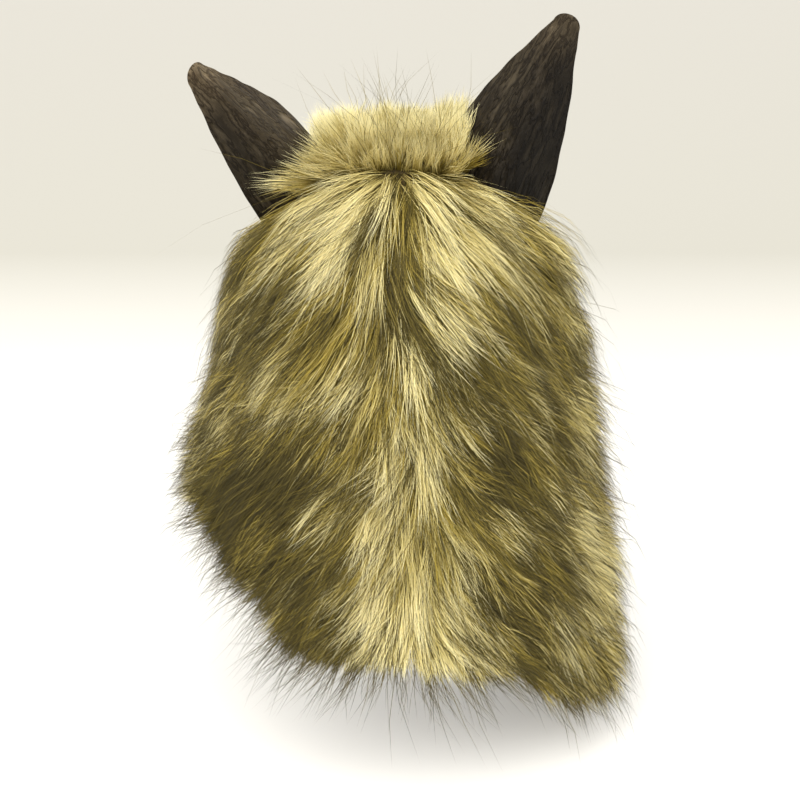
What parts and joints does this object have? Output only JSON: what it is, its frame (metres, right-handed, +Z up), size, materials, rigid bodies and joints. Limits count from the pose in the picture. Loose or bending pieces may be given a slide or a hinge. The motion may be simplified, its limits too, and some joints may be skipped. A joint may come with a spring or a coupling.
{
  "type": "wolf head mask",
  "caption": "Pull-on animal head mask: a hollow moulded latex wolf face with upright latex ears and deep golden fur over the crown and the back of the head.",
  "frame": {"origin": "the point inside the crown where the mask sits on the wearer's head", "axes": "+X to the wearer's right, +Y forward out of the face, +Z up"},
  "size_m": [0.2846, 0.3173, 0.4645],
  "materials": {
    "latex": "dull, finely wrinkled",
    "pale_fur": "deep pile",
    "gold_fur": "deep pile, dark tipped"
  },
  "bodies": {
    "root": {"latex_head": "latex", "ear_left": "latex", "ear_right": "latex", "crown_fur": "pale_fur", "back_fur_left": "gold_fur", "back_fur_right": "gold_fur"}
  },
  "joints": []
}
